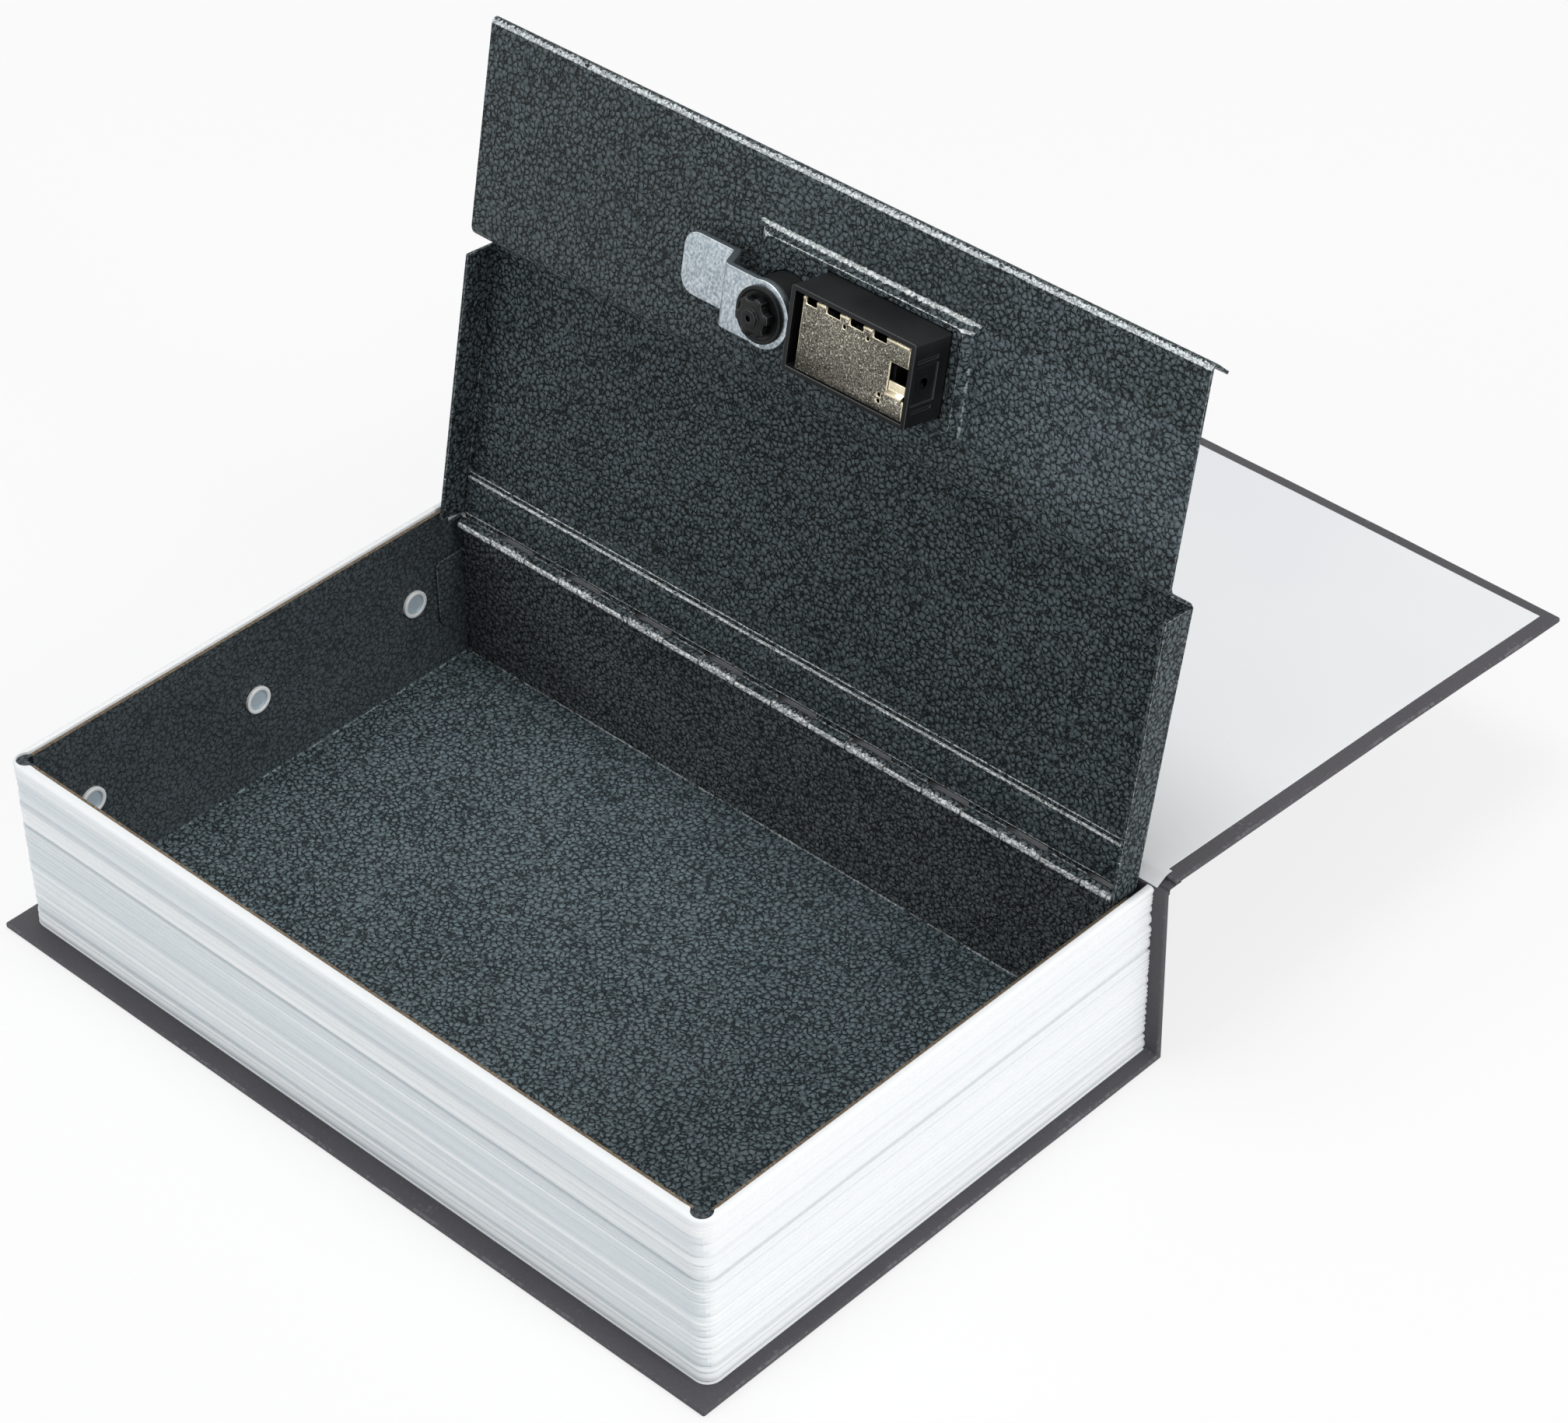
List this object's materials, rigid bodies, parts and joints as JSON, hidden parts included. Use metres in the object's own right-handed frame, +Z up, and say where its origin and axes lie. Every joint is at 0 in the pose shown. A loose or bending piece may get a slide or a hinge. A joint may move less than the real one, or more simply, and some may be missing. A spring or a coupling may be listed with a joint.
{
  "type": "book diversion safe",
  "caption": "Hollow hardcover book, open: ribbed false page block round a folded steel box, whose joggled steel lid carries a combination cam lock.",
  "frame": {"origin": "middle of the back cover's underside, on the table", "axes": "+X along the spine, +Y from the fore edge towards the spine, +Z up"},
  "size_m": [0.24, 0.3095, 0.185],
  "materials": {
    "greyboard": "plain greyboard, hidden under the paper",
    "cover_paper": "matt dark grey bookbinding paper with rubbed edges",
    "endpaper": "smooth white paper",
    "page_plastic": "satin white, moulded with page-like ribs",
    "painted_steel": "dark slate wrinkle powder coat, bright at the folds",
    "rivet_plastic": "white nylon",
    "black_plastic": "black, satin",
    "nickel": "grainy warm nickel plate",
    "zinc": "bright zinc plate",
    "plain_steel": "plain, smooth",
    "brass": "plain turned"
  },
  "bodies": {
    "case_and_box": {"back_board": "greyboard", "spine_board": "greyboard", "case_paper": "cover_paper", "page_frame": "page_plastic", "steel_tray": "painted_steel", "tray_upstand": "painted_steel", "tray_wall_front": "painted_steel", "tray_wall_left": "painted_steel", "tray_wall_right": "painted_steel", "latch_ledge": "painted_steel", "rear_wall": "painted_steel", "rear_tab_left": "painted_steel", "rear_tab_right": "painted_steel", "hinge_pin": "plain_steel", "wall_rivet_left_1": "rivet_plastic", "wall_rivet_left_2": "rivet_plastic", "wall_rivet_left_3": "rivet_plastic", "wall_rivet_right_1": "rivet_plastic", "wall_rivet_right_2": "rivet_plastic", "wall_rivet_right_3": "rivet_plastic", "wall_rivet_front_1": "rivet_plastic", "wall_rivet_front_2": "rivet_plastic", "wall_rivet_front_3": "rivet_plastic", "wall_rivet_front_4": "rivet_plastic"},
    "front_cover": {"front_board": "greyboard", "front_paper": "cover_paper", "front_endpaper": "endpaper"},
    "lid": {"lid_panel": "painted_steel", "lid_hinge_leaf": "painted_steel", "lock_housing": "black_plastic", "lock_back_plate": "nickel", "dial_axle": "plain_steel", "fence_spring": "plain_steel"},
    "cam": {"turn_knob": "black_plastic", "cam_spindle": "zinc", "latch_cam": "zinc", "cam_washer": "black_plastic", "cam_nut": "black_plastic"},
    "dial_1": {"dial_wheel_1": "black_plastic", "code_hub_1": "brass"},
    "dial_2": {"dial_wheel_2": "black_plastic", "code_hub_2": "brass"},
    "dial_3": {"dial_wheel_3": "black_plastic", "code_hub_3": "brass"},
    "reset": {"reset_lever": "nickel"},
    "fence": {"fence_slide": "zinc"}
  },
  "joints": [
    {"name": "lid_hinge", "type": "hinge", "parent": "case_and_box", "child": "lid", "pos_m": [0, 0.07225, 0.0466], "axis": [1, 0, 0], "range_deg": [0, 101.8]},
    {"name": "cover_hinge", "type": "hinge", "parent": "case_and_box", "child": "front_cover", "pos_m": [0, 0.07705, 0.0532], "axis": [1, 0, 0], "range_deg": [0, 183.24]},
    {"name": "cam_turn", "type": "hinge", "parent": "lid", "child": "cam", "pos_m": [-0.006, 0.0863, 0.15297], "axis": [0, 0.9789, -0.2045], "range_deg": [0, 90]},
    {"name": "dial_1_turn", "type": "hinge", "parent": "lid", "child": "dial_1", "pos_m": [0.014, 0.08274, 0.15597], "axis": [1, 0, 0], "continuous": true},
    {"name": "dial_2_turn", "type": "hinge", "parent": "lid", "child": "dial_2", "pos_m": [0.024, 0.08274, 0.15597], "axis": [1, 0, 0], "continuous": true},
    {"name": "dial_3_turn", "type": "hinge", "parent": "lid", "child": "dial_3", "pos_m": [0.034, 0.08274, 0.15597], "axis": [1, 0, 0], "continuous": true},
    {"name": "reset_shift", "type": "slide", "parent": "lid", "child": "reset", "axis": [0, 0.2045, 0.9789], "range_m": [0, 0.004]},
    {"name": "fence_shift", "type": "slide", "parent": "lid", "child": "fence", "axis": [1, 0, 0], "range_m": [0, 0.0015]}
  ],
  "couplings": [
    {"joint": "cover_hinge", "follows": "lid_hinge", "ratio": 1.8},
    {"joint": "fence_shift", "follows": "cam_turn", "m_per_rad": 0.000954}
  ]
}
